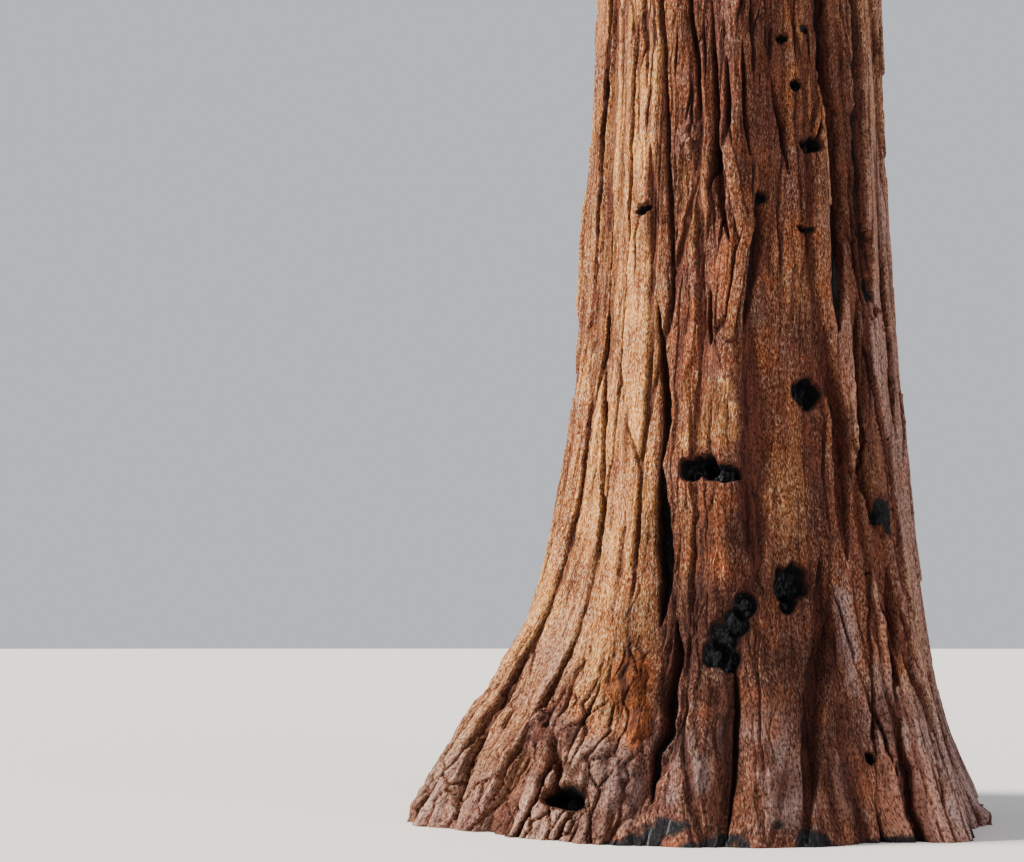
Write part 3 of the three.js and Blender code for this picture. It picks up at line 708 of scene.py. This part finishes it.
# Each part of the faces is an array with one row for each face.
def newMesh(name, points, faces, materials):
    corners = np.concatenate([part.ravel() for part in faces])
    sizes = np.concatenate([np.full(len(part), part.shape[1]) for part in faces])
    mesh = bpy.data.meshes.new(name)
    mesh.vertices.add(len(points))
    mesh.vertices.foreach_set("co", points.astype(np.float32).ravel())
    mesh.loops.add(len(corners))
    mesh.loops.foreach_set("vertex_index", corners.astype(np.int32))
    mesh.polygons.add(len(sizes))
    mesh.polygons.foreach_set("loop_start", (np.cumsum(sizes) - sizes).astype(np.int32))
    for material in materials:
        mesh.materials.append(material)
    mesh.update(calc_edges=True)
    piece = bpy.data.objects.new(name, mesh)
    bpy.context.collection.objects.link(piece)
    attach(piece, "root")
    return piece


# The values of rings in one row, and then the mean of the first ring and of the last.
def withEnds(rings):
    return np.concatenate([rings.reshape(-1, *rings.shape[2:]), [rings[0].mean(0), rings[-1].mean(0)]])


# Closed tubes as one piece. Each is its rings of points, and what the bark reads at each point.
def joinTubes(name, tubes, material):
    sides, ends = [], []
    start = 0
    for rings, _ in tubes:
        rows, columns = rings.shape[:2]
        ring = start + np.arange(columns)
        following = start + (np.arange(columns) + 1) % columns
        up = np.arange(rows - 1)[:, None] * columns
        quads = np.stack([ring + up, following + up, following + up + columns, ring + up + columns], -1)
        sides.append(quads.reshape(-1, 4))
        top, middle = (rows - 1) * columns, np.full(columns, start + rows * columns)
        ends.append(np.stack([following, ring, middle], -1))
        ends.append(np.stack([ring + top, following + top, middle + 1], -1))
        start += rows * columns + 2
    points = np.concatenate([withEnds(rings) for rings, _ in tubes])
    piece = newMesh(name, points, [np.concatenate(sides), np.concatenate(ends)], [material])
    for key in tubes[0][1]:
        values = np.concatenate([withEnds(skin[key]) for _, skin in tubes]).astype(np.float32)
        kind, field = ("FLOAT", "value") if values.ndim == 1 else ("FLOAT_VECTOR", "vector")
        piece.data.attributes.new(key, kind, "POINT").data.foreach_set(field, values.ravel())
    piece.data.shade_smooth()
    return piece


# Rows and columns of the low and the high part, and how many bands the low part is cut into.
trunkMesh = {"lowTop": 5.6, "low": (440, 800), "lowBands": 4, "high": (236, 360), "frontDensity": 0.48}


def trunkGrid(low, high, rows, columns, fine):
    step = np.arange(columns) / columns * 2 * math.pi
    turn = np.degrees(step - trunkMesh["frontDensity"] * np.sin(step))
    turn, z = np.meshgrid(turn, np.linspace(low, high, rows))
    radius = trunkRadius(turn, z)
    plain = axisAt(z) + outward(turn) * radius[..., None]
    facing = gridNormals(plain)
    facing[..., 2] *= ease(0, 0.25, z)
    skin = barkRelief((turn + 180) % 360 - 180, z, radius, fine)
    points = plain + unit(facing) * skin["out"][..., None]
    points[..., 2] = np.clip(points[..., 2], 0, trunk["height"])
    length = np.cumsum(np.linalg.norm(np.gradient(plain, axis=0), axis=-1), 0)
    length = length - length[-1] + high if low == 0 else length - length[0] + low
    angle = np.radians(skin["turn"])
    depth = 1.1 + skin["out"]
    skin["flow"] = np.stack([np.sin(angle) * depth, -np.cos(angle) * depth, length], -1)
    skin["facing"] = gridNormals(points)
    return points, skin


def trunkBand(name, points, skin, first, last):
    rows = slice(first, last + 1)
    read = {key: skin[key][rows] for key in (*barkKeys, "flow")}
    piece = joinTubes(name, [(points[rows], read)], barkMaterial)
    facing = np.concatenate([skin["facing"][rows].reshape(-1, 3), [[0, 0, -1], [0, 0, 1]]])
    piece.data.normals_split_custom_set_from_vertices(facing.tolist())
    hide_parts("trunk")


def makeTrunk():
    split, bands = trunkMesh["lowTop"], trunkMesh["lowBands"]
    points, skin = trunkGrid(0, split, *trunkMesh["low"], True)
    edges = np.linspace(0, len(points) - 1, bands + 1).astype(int)
    for k in range(bands):
        trunkBand(f"trunkBarkLow{k + 1}", points, skin, edges[k], edges[k + 1])
    points, skin = trunkGrid(split, trunk["height"], *trunkMesh["high"], False)
    trunkBand("trunkBarkHigh", points, skin, 0, len(points) - 1)


makeTrunk()
print("trunk made")

# Boughs and the masses they carry, by the source's rule.
crown = {"foot": 12.5, "reach": 6.3, "shoulder": 2.6, "dome": 0.6, "footShare": 0.72, "fullAt": 0.25}

# Two values stand for the lowest and the highest bough.
boughRule = {
    "count": 26, "height": (14.3, 34.2), "heightJitter": 0.5, "turnJitter": 30, "pitch": (-14, 34),
    "pitchJitter": 12, "upturn": 34, "rootDepth": 0.4, "shortest": 1.5, "radius": (0.205, 0.085),
    "tipShare": 0.52,
}

massRule = {"share": 0.42, "least": 1.0, "flatness": 0.85, "lead": 0.7, "stemShare": 0.96}

topRule = {
    "count": 7, "height": (34.7, 38.67), "heightJitter": 0.2, "half": (1.3, 0.86), "pitch": (30, 74),
    "shortestStem": 0.55, "stemRadius": 0.048,
}

shootRule = {
    "count": 9, "reach": 0.56, "size": 0.47, "spread": 1.7, "seat": (0.97, 0.25), "jitter": 0.32,
}

goldenTurn = 137.508
seeds = {"bough": 220, "topMass": 300, "boughFoliage": 1000, "topFoliage": 3000}
spaceEdge = 1.08
spaceMargin = 0.05
limbMargin = 0.06


# Rows of numbers from 0 to 1, one row for each seed, the same every time.
def seeded(seed):
    state = [(np.asarray(seed, np.uint64) * np.uint64(7919) + np.uint64(104729)) % np.uint64(4294967296)]

    def draw():
        state[0] = (state[0] * np.uint64(1664525) + np.uint64(1013904223)) % np.uint64(4294967296)
        return state[0].astype(float) / 4294967296
    return draw


def crownRadius(z):
    share = np.clip((z - crown["foot"]) / (trunk["height"] - crown["foot"]), 0, 1)
    widening = mix(crown["footShare"], 1, np.minimum(1, share / crown["fullAt"]))
    return crown["reach"] * widening * (1 - share ** crown["shoulder"]) ** crown["dome"]


def boughPlan(i):
    rule = boughRule
    draw = seeded(seeds["bough"] + i)
    share = i / (rule["count"] - 1)
    height = mix(*rule["height"], share) + (draw() - 0.5) * rule["heightJitter"]
    turn = goldenTurn * i + (draw() - 0.5) * rule["turnJitter"]
    pitch = mix(*rule["pitch"], share) + (draw() - 0.5) * rule["pitchJitter"]
    reach = crownRadius(height) * (0.9 + 0.2 * draw())
    half = max(massRule["least"], massRule["share"] * reach)
    rise = math.tan(math.radians(pitch + rule["upturn"] / 2))
    start = columnRadius(height) * rule["rootDepth"]
    end = max(reach - half * (1 + massRule["lead"]), columnRadius(height) * rule["shortest"])
    root = axisAt(height) + outward(turn) * start
    tip = root + outward(turn) * (end - start) + np.array([0, 0, (end - start) * rise])
    bend = root + outward(turn, pitch) * np.linalg.norm(tip - root) / 2
    radius = mix(*rule["radius"], share) * (0.85 + 0.3 * draw())
    tipRadius = radius * rule["tipShare"]
    return {
        "curve": (root, bend, tip), "radius": radius, "tipRadius": tipRadius, "seat": tip,
        "centre": tip + unit(tip - bend) * half * massRule["lead"], "half": half, "height": height,
        "seed": seeds["boughFoliage"] + i, "stem": tipRadius * massRule["stemShare"],
    }


def topMassPlan(i):
    rule = topRule
    draw = seeded(seeds["topMass"] + i)
    share = i / (rule["count"] - 1)
    height = mix(*rule["height"], share) + (draw() - 0.5) * rule["heightJitter"]
    turn = goldenTurn * (boughRule["count"] + i) + (draw() - 0.5) * boughRule["turnJitter"]
    half = mix(*rule["half"], share)
    aim = outward(turn, mix(*rule["pitch"], share))
    seat = axisAt(height)
    length = max(crownRadius(height + half / 2) - half, half * rule["shortestStem"])
    return {
        "seat": seat, "centre": seat + aim * length, "half": half, "seed": seeds["topFoliage"] + i,
        "stem": rule["stemRadius"], "height": height,
    }


def curvePoint(curve, share):
    share = np.asarray(share)[..., None]
    root, bend, tip = curve
    return root * (1 - share) ** 2 + bend * 2 * share * (1 - share) + tip * share ** 2


boughs = [boughPlan(i) for i in range(boughRule["count"])]
masses = boughs + [topMassPlan(i) for i in range(topRule["count"])]
massCentres = np.array([mass["centre"] for mass in masses])
massHalves = np.array([mass["half"] for mass in masses])
beadShares = np.arange(13) / 12
beadPlaces = np.concatenate([curvePoint(bough["curve"], beadShares) for bough in boughs])
beadRadii = np.concatenate([mix(bough["radius"], bough["tipRadius"], beadShares) for bough in boughs])


# Whether each point keeps to its own mass's space and clear of the trunk and the boughs.
def isFree(points, owners, room):
    free = []
    for start in range(0, len(points), 20000):
        place, owner = points[start:start + 20000], owners[start:start + 20000]
        gap = place[:, None, :] - massCentres[None]
        gap[..., 2] /= massRule["flatness"]
        depth = np.linalg.norm(gap, axis=-1) / massHalves[None]
        rows = np.arange(len(place))
        own = depth[rows, owner] + room / massHalves[owner]
        depth[rows, owner] = 99
        clear = (own <= spaceEdge) & (depth.min(1) >= own + spaceMargin)
        fromAxis = np.linalg.norm(place - axisAt(place[:, 2]), axis=1)
        clear &= fromAxis >= columnRadius(place[:, 2]) + room + limbMargin
        toBeads = np.linalg.norm(place[:, None, :] - beadPlaces[None], axis=-1) - beadRadii[None]
        free.append(clear & (toBeads.min(1) > room + limbMargin))
    return np.concatenate(free)


# The shoots of each stem. A row of stems is a dictionary of arrays.
def shootsOf(stems):
    draw = seeded(stems["seed"])
    phase = 360 * draw()
    stem = stems["centre"] - stems["seat"]
    axis = unit(stem)
    steep = np.abs(axis[:, 2]) > 0.9
    side = unit(np.cross(axis, np.where(steep[:, None], outward(0), np.array([0.0, 0, 1]))))
    over = np.cross(axis, side)
    count = shootRule["count"]
    rows = []
    for k in range(count):
        lift = 1 - shootRule["spread"] * (k + 0.5) / count
        flat = math.sqrt(1 - lift * lift)
        angle = np.radians(phase + goldenTurn * k)[:, None]
        way = axis * lift + side * flat * np.cos(angle) + over * flat * np.sin(angle)
        jitter = [(draw() - 0.5) * shootRule["jitter"] for _ in range(3)]
        way = unit(way + np.stack(jitter, -1))
        way[:, 2] *= massRule["flatness"]
        rows.append({
            "way": way,
            "side": outward(360 * draw()),
            "seat": stems["seat"] + stem * mix(*shootRule["seat"], k / (count - 1)),
            "centre": stems["centre"] + way * stems["half"][:, None] * shootRule["reach"],
            "half": stems["half"] * shootRule["size"],
            "seed": (stems["seed"] * 31 + k * 17 + 7) % 1000003,
            "owner": stems["owner"],
        })
    return {key: np.concatenate([row[key] for row in rows]) for key in rows[0]}


# Where the tested part of a shoot ends, in its own half widths past its middle, and its clear space.
growth = {"end": (-0.35, -0.35, 0.9), "room": (0.029, 0.013, 0.0)}


def growShoots():
    stems = {key: np.array([mass[key] for mass in masses]) for key in ("seat", "centre", "half", "seed")}
    stems["owner"] = np.arange(len(masses))
    levels = []
    for past, room in zip(growth["end"], growth["room"]):
        shoots = shootsOf(stems)
        end = shoots["centre"] + shoots["way"] * shoots["half"][:, None] * past
        keep = np.ones(len(end), bool)
        for share in (0.5, 0.75, 1):
            keep &= isFree(mix(shoots["seat"], end, share), shoots["owner"], room)
        stems = {key: values[keep] for key, values in shoots.items()}
        levels.append(stems)
    return levels


shootLevels = growShoots()
print("shoots of each level:", [len(level["half"]) for level in shootLevels])
limbMesh = {"sides": 24, "rings": 40, "stemRings": 9, "collar": 0.45, "collarReach": 0.3, "topRings": 14}


# One limb along a path: its rings of points, and what the bark reads at each point.
def limbSkin(path, radii, sides, seed, rough):
    forwards = unit(np.gradient(path, axis=0))
    side = np.cross(forwards[0], [0, 0, 1.0])
    if np.linalg.norm(side) < 0.1:
        side = np.array([1.0, 0, 0])
    length = np.concatenate([[0], np.cumsum(np.linalg.norm(np.diff(path, axis=0), axis=1))])
    turn, run = np.meshgrid(np.arange(sides) / sides, length)
    cos, sin = np.cos(turn * 2 * math.pi), np.sin(turn * 2 * math.pi)
    spokes = []
    for forward in forwards:
        side = unit(side - forward * side.dot(forward))
        spokes.append(side * cos[0][:, None] + np.cross(forward, side) * sin[0][:, None])
    wavy = turn * 9 + 0.4 * softNoise(turn * 4, run / 0.4, 4, seed)
    edge, tone = plateEdges(wavy, run / 0.5, 9, 4.0, seed + 1)
    valley = np.exp(-((edge / 0.2) ** 2))
    knots = softNoise(turn * 3, run / 0.35, 3, seed + 2)
    radius = radii[:, None] * (1 + rough * (0.10 * knots - 0.16 * valley))
    points = path[:, None] + np.array(spokes) * radius[..., None]
    flow = np.stack([sin * 0.25 + seed, -cos * 0.25, run], -1)
    # the furrows take the recess colour, partly darker bark and partly painted shade
    return points, {"furrow": valley * 0.8, "tone": tone, "flow": flow}


def joinLimbs(name, limbs, nodes):
    piece = joinTubes(name, limbs, limbMaterial)
    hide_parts(*nodes)


def numbered(word, i):
    return f"{word}_{i + 1:02d}"


def massNode(i):
    count = boughRule["count"]
    return numbered("foliage", i) if i < count else numbered("top_foliage", i - count)


def stemOf(mass, shares):
    return mass["seat"] + (mass["centre"] - mass["seat"]) * shares[:, None]


def makeBoughs():
    limbs, stems = [], []
    for i, bough in enumerate(boughs):
        shares = np.linspace(0, 1, limbMesh["rings"])
        path = curvePoint(bough["curve"], shares)
        radii = mix(bough["radius"], bough["tipRadius"], shares ** 0.8)
        fromTrunk = np.linalg.norm((path - axisAt(path[:, 2]))[:, :2], axis=1) - columnRadius(path[:, 2])
        collar = np.exp(-np.maximum(fromTrunk, 0) / limbMesh["collarReach"])
        radii = radii * (1 + limbMesh["collar"] * collar)
        shares = np.linspace(0, 1, limbMesh["stemRings"])[1:]
        path = np.concatenate([path, stemOf(bough, shares)])
        radii = np.concatenate([radii, mix(radii[-1], bough["stem"] * 0.5, shares)])
        limbs.append(limbSkin(path, radii, limbMesh["sides"], 100 + i, 1.0))
    joinLimbs("boughs", limbs, [numbered("bough", i) for i in range(len(boughs))])
    shares = np.linspace(0, 1, limbMesh["topRings"])
    for i, mass in enumerate(masses[len(boughs):]):
        stems.append(limbSkin(stemOf(mass, shares), mass["stem"] * mix(1, 0.5, shares), 12, 200 + i, 0.6))
    joinLimbs("topStems", stems, [massNode(i) for i in range(len(boughs), len(masses))])


makeBoughs()
print("boughs made")


# Slim twigs that taper to half, each with a pointed tip.
def twigTubes(starts, ends, radii, sides):
    starts, ends, radii = starts[:, None], ends[:, None], radii[:, None, None]
    along = unit(ends - starts)
    steep = np.abs(along[..., 2:]) > 0.9
    side = unit(np.cross(along, np.where(steep, [1.0, 0, 0], [0, 0, 1.0])))
    ring = np.arange(sides)
    angle = (ring / sides * 2 * math.pi)[:, None]
    spoke = (side * np.cos(angle) + np.cross(along, side) * np.sin(angle)) * radii
    points = np.concatenate([starts + spoke, ends + spoke * 0.5, ends + along * radii * 0.5], 1)
    following = (ring + 1) % sides
    quads = np.stack([ring, following, following + sides, ring + sides], -1)
    caps = np.stack([ring + sides, following + sides, np.full(sides, 2 * sides)], -1)
    offset = np.arange(len(starts))[:, None, None] * (2 * sides + 1)
    return points.reshape(-1, 3), (quads + offset).reshape(-1, 4), (caps + offset).reshape(-1, 3)


# Colours, and for each level of twigs its thickest radius and its sides.
twigLook = {"colour": srgb(112, 78, 52), "dark": srgb(72, 50, 36), "levels": ((0.028, 6), (0.013, 4))}


def makeTwigMaterial():
    material, tree, shader = newMaterial("twigBark", 0.85, 0.25)
    place = addNode(tree, "TexCoord").outputs["Object"]
    grain = useGroup(tree, fibreGroup, {"Place": place, "Scale": 30.0, "Stretch": 3.0})
    feed(tree, shader, {
        "Base Color": mixColour(tree, grain["Fibre"], twigLook["dark"], twigLook["colour"]),
        "Normal": bumpOf(tree, grain["Height"], 0.3, 0.004),
    })
    return material


def makeTwigs():
    parts = []
    start = 0
    for shoots, (radius, sides) in zip(shootLevels, twigLook["levels"]):
        thick = radius * (shoots["half"] / shoots["half"].max()) ** 0.5
        points, quads, caps = twigTubes(shoots["seat"], shoots["centre"], thick, sides)
        parts.append((points, quads + start, caps + start))
        start += len(points)
    points, quads, caps = (np.concatenate(part) for part in zip(*parts))
    piece = newMesh("twigs", points, [quads, caps], [makeTwigMaterial()])
    piece.data.shade_smooth()
    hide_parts(*[massNode(i) for i in range(len(masses))])
    print("twigs made:", len(quads) * 2 + len(caps), "triangles")


makeTwigs()

# Sprays: a slim core with small cords of needles that stand out of it all round.
sprayRule = {
    "kinds": 6, "cords": 13, "coreWidth": 0.034, "cordLength": 0.45, "cordWidth": 0.076, "lean": 48,
    "stretch": (0.22, 0.94), "most": 150000,
}

# Greens, and how often each is dealt out near the middle and at the edge of a mass.
greens = [
    ("needlesDeep", srgb(54, 76, 38), 0.36, 0.12),
    ("needlesGreen", srgb(78, 104, 48), 0.34, 0.30),
    ("needlesBlue", srgb(96, 122, 78), 0.14, 0.26),
    ("needlesLight", srgb(122, 146, 70), 0.08, 0.30),
    ("needlesOld", srgb(122, 92, 52), 0.06, 0.015),
]


def makeGreen(name, colour):
    material, tree, shader = newMaterial(name, 0.7, 0.35)
    grain = noiseOf(tree, addNode(tree, "TexCoord").outputs["Object"], 90.0, 2.0)
    darker = tuple(part * 0.72 for part in colour[:3]) + (1.0,)
    lighter = tuple(min(1, part * 1.22) for part in colour[:3]) + (1.0,)
    feed(tree, shader, {
        "Base Color": mixColour(tree, mapRange(tree, grain, 0.3, 0.7), darker, lighter),
        "Roughness": mapRange(tree, grain, 0.3, 0.7, 0.62, 0.8),
        "Normal": bumpOf(tree, grain, 0.25, 0.003),
    })
    return material


def sprayTemplate(kind):
    random = np.random.RandomState(600 + kind)
    points, faces = [], []

    def cord(foot, way, length, width, spin):
        way = unit(np.array(way))
        side = unit(np.cross(way, [0.3, 0.5, 0.81]))
        over = np.cross(way, side)
        start = len(points)
        for k in range(3):
            angle = spin + 2 * math.pi * k / 3
            points.append(foot + (side * math.cos(angle) + over * math.sin(angle)) * width / 2)
            faces.append((start + k, start + (k + 1) % 3, start + 3))
        points.append(foot + way * length)

    cord(np.zeros(3), (0, 0, 1), 1.0, sprayRule["coreWidth"], 0)
    count = sprayRule["cords"]
    for k in range(count):
        share = (k + random.uniform(-0.3, 0.3)) / (count - 1)
        height = mix(*sprayRule["stretch"], np.clip(share, 0, 1))
        angle = math.radians(goldenTurn * k + random.uniform(-20, 20))
        lean = math.radians(sprayRule["lean"] + random.uniform(-12, 12) - 16 * share)
        way = (math.sin(lean) * math.cos(angle), math.sin(lean) * math.sin(angle), math.cos(lean))
        length = sprayRule["cordLength"] * mix(1.0, 0.55, share) * random.uniform(0.8, 1.15)
        cord(np.array([0, 0, height]), way, length, sprayRule["cordWidth"], random.uniform(0, 2))
    return np.array(points), np.array(faces)


def makeSprays():
    shoots = shootLevels[2]
    owner = shoots["owner"]
    count = len(owner)
    random = np.random.RandomState(77)
    run = shoots["centre"] + shoots["way"] * shoots["half"][:, None] * 0.95 - shoots["seat"]
    length = np.linalg.norm(run, axis=1)
    aim = run / length[:, None]
    side = unit(shoots["side"] - aim * (shoots["side"] * aim).sum(1, keepdims=True) + 1e-4)
    frames = np.stack([side, np.cross(aim, side), aim], 1)
    gap = shoots["centre"] - massCentres[owner]
    gap[:, 2] /= massRule["flatness"]
    depth = np.clip(np.linalg.norm(gap, axis=1) / massHalves[owner], 0, 1)
    kinds = random.randint(0, sprayRule["kinds"], count)
    inner, outer = (np.array([green[k] for green in greens]) for k in (2, 3))
    chances = mix(inner[None], outer[None], ease(0.35, 0.95, depth)[:, None])
    chances = np.cumsum(chances / chances.sum(1, keepdims=True), 1)
    hue = (random.random_sample(count)[:, None] > chances).sum(1).clip(0, len(greens) - 1)
    templates = [sprayTemplate(kind) for kind in range(sprayRule["kinds"])]
    perSpray = len(templates[0][1])
    print("sprays:", count, "with", perSpray, "faces each")
    materials = [makeGreen(name, colour) for name, colour, _, _ in greens]
    # the masses are dealt out to groups from the lowest up, so that each group stays small enough
    groups = max(1, math.ceil(count * perSpray / sprayRule["most"]))
    order = np.argsort([mass["height"] for mass in masses], kind="stable")
    share = np.cumsum(np.bincount(owner, minlength=len(masses))[order]) / count
    groupOf = np.zeros(len(masses), int)
    groupOf[order] = np.minimum((share * groups - 1e-6).astype(int), groups - 1)
    for group in range(groups):
        points, faces, tints = [], [], []
        start = 0
        for kind, (shape, triangles) in enumerate(templates):
            these = np.flatnonzero((groupOf[owner] == group) & (kinds == kind))
            placed = np.einsum("vk,nkj->nvj", shape, frames[these]) * length[these][:, None, None]
            placed += shoots["seat"][these][:, None]
            offset = start + np.arange(len(these))[:, None, None] * len(shape)
            points.append(placed.reshape(-1, 3))
            faces.append((triangles[None] + offset).reshape(-1, 3))
            tints.append(np.repeat(hue[these], len(triangles)))
            start += len(these) * len(shape)
        faces = np.concatenate(faces)
        piece = newMesh(f"sprays{group + 1}", np.concatenate(points), [faces], materials)
        piece.data.polygons.foreach_set("material_index", np.concatenate(tints).astype(np.int32))
        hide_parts(*[massNode(i) for i in np.flatnonzero(groupOf == group)])
        print(piece.name, len(faces), "triangles")


makeSprays()

# Floor and light
studio = {
    "floor": srgb(216, 212, 205), "floorReach": 400.0, "sky": srgb(231, 233, 241), "skyStrength": 0.8,
    # strength, colour, softness in degrees, and where the light comes from
    "sun": (12.4, (1.0, 0.95, 0.88), 16.0, (-1.0, -0.16, 0.58)),
    "fill": (1.6, (0.86, 0.91, 1.0), 50.0, (1.0, -0.7, 0.45)),
}


def makeStudio():
    angle = np.arange(64) / 64 * 2 * math.pi
    points = np.stack([np.cos(angle), np.sin(angle), np.zeros(64)], -1) * studio["floorReach"]
    mesh = bpy.data.meshes.new("floor")
    mesh.from_pydata(points.tolist(), [], [tuple(range(64))])
    floor = bpy.data.objects.new("floor", mesh)
    floor.location.z = -0.001
    bpy.context.collection.objects.link(floor)
    material, tree, shader = newMaterial("floorPaint", 0.9, 0.2)
    shader.inputs["Base Color"].default_value = studio["floor"]
    mesh.materials.append(material)
    world = bpy.data.worlds.new("studio")
    world.use_nodes = True
    bpy.context.scene.world = world
    tree = world.node_tree
    feed(tree, tree.nodes["Background"], {"Color": studio["sky"], "Strength": studio["skyStrength"]})
    for name in ("sun", "fill"):
        lamp = bpy.data.objects.new(name, bpy.data.lights.new(name, "SUN"))
        lamp.data.energy, lamp.data.color, softness, (east, north, high) = studio[name]
        lamp.data.angle = math.radians(softness)
        pitch = math.atan2(math.hypot(east, north), high)
        lamp.rotation_euler = Euler((pitch, 0, math.atan2(east, -north)))
        bpy.context.collection.objects.link(lamp)


makeStudio()
print("studio made")
